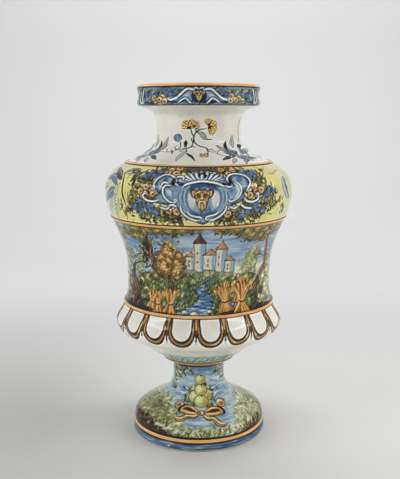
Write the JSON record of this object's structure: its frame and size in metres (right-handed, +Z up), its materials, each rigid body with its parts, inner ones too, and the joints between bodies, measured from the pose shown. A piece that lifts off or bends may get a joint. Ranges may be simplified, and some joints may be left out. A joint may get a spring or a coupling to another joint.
{
  "type": "baluster vase",
  "caption": "Footed baluster vase in tin-glazed earthenware, thrown in luted sections, with a hollow bell foot, wide shoulder, narrow neck and upright mouth collar.",
  "frame": {"origin": "centre of the flat ring that the vase stands on", "axes": "+Z up along the axis of the vase; the painted front faces -Y, with +X to its right as seen from the front"},
  "size_m": [0.2224, 0.2224, 0.42],
  "materials": {
    "blue_glaze": "gloss",
    "landscape_glaze": "gloss",
    "white_glaze": "gloss",
    "orange_glaze": "gloss",
    "yellow_glaze": "gloss"
  },
  "bodies": {
    "root": {"base_ring": "blue_glaze", "foot": "landscape_glaze", "foot_string": "orange_glaze", "stem_coil": "blue_glaze", "bowl": "white_glaze", "bowl_string": "orange_glaze", "drum": "landscape_glaze", "belt_string": "orange_glaze", "shoulder": "yellow_glaze", "shoulder_string": "orange_glaze", "neck": "white_glaze", "neck_string": "orange_glaze", "collar": "blue_glaze"}
  },
  "joints": []
}
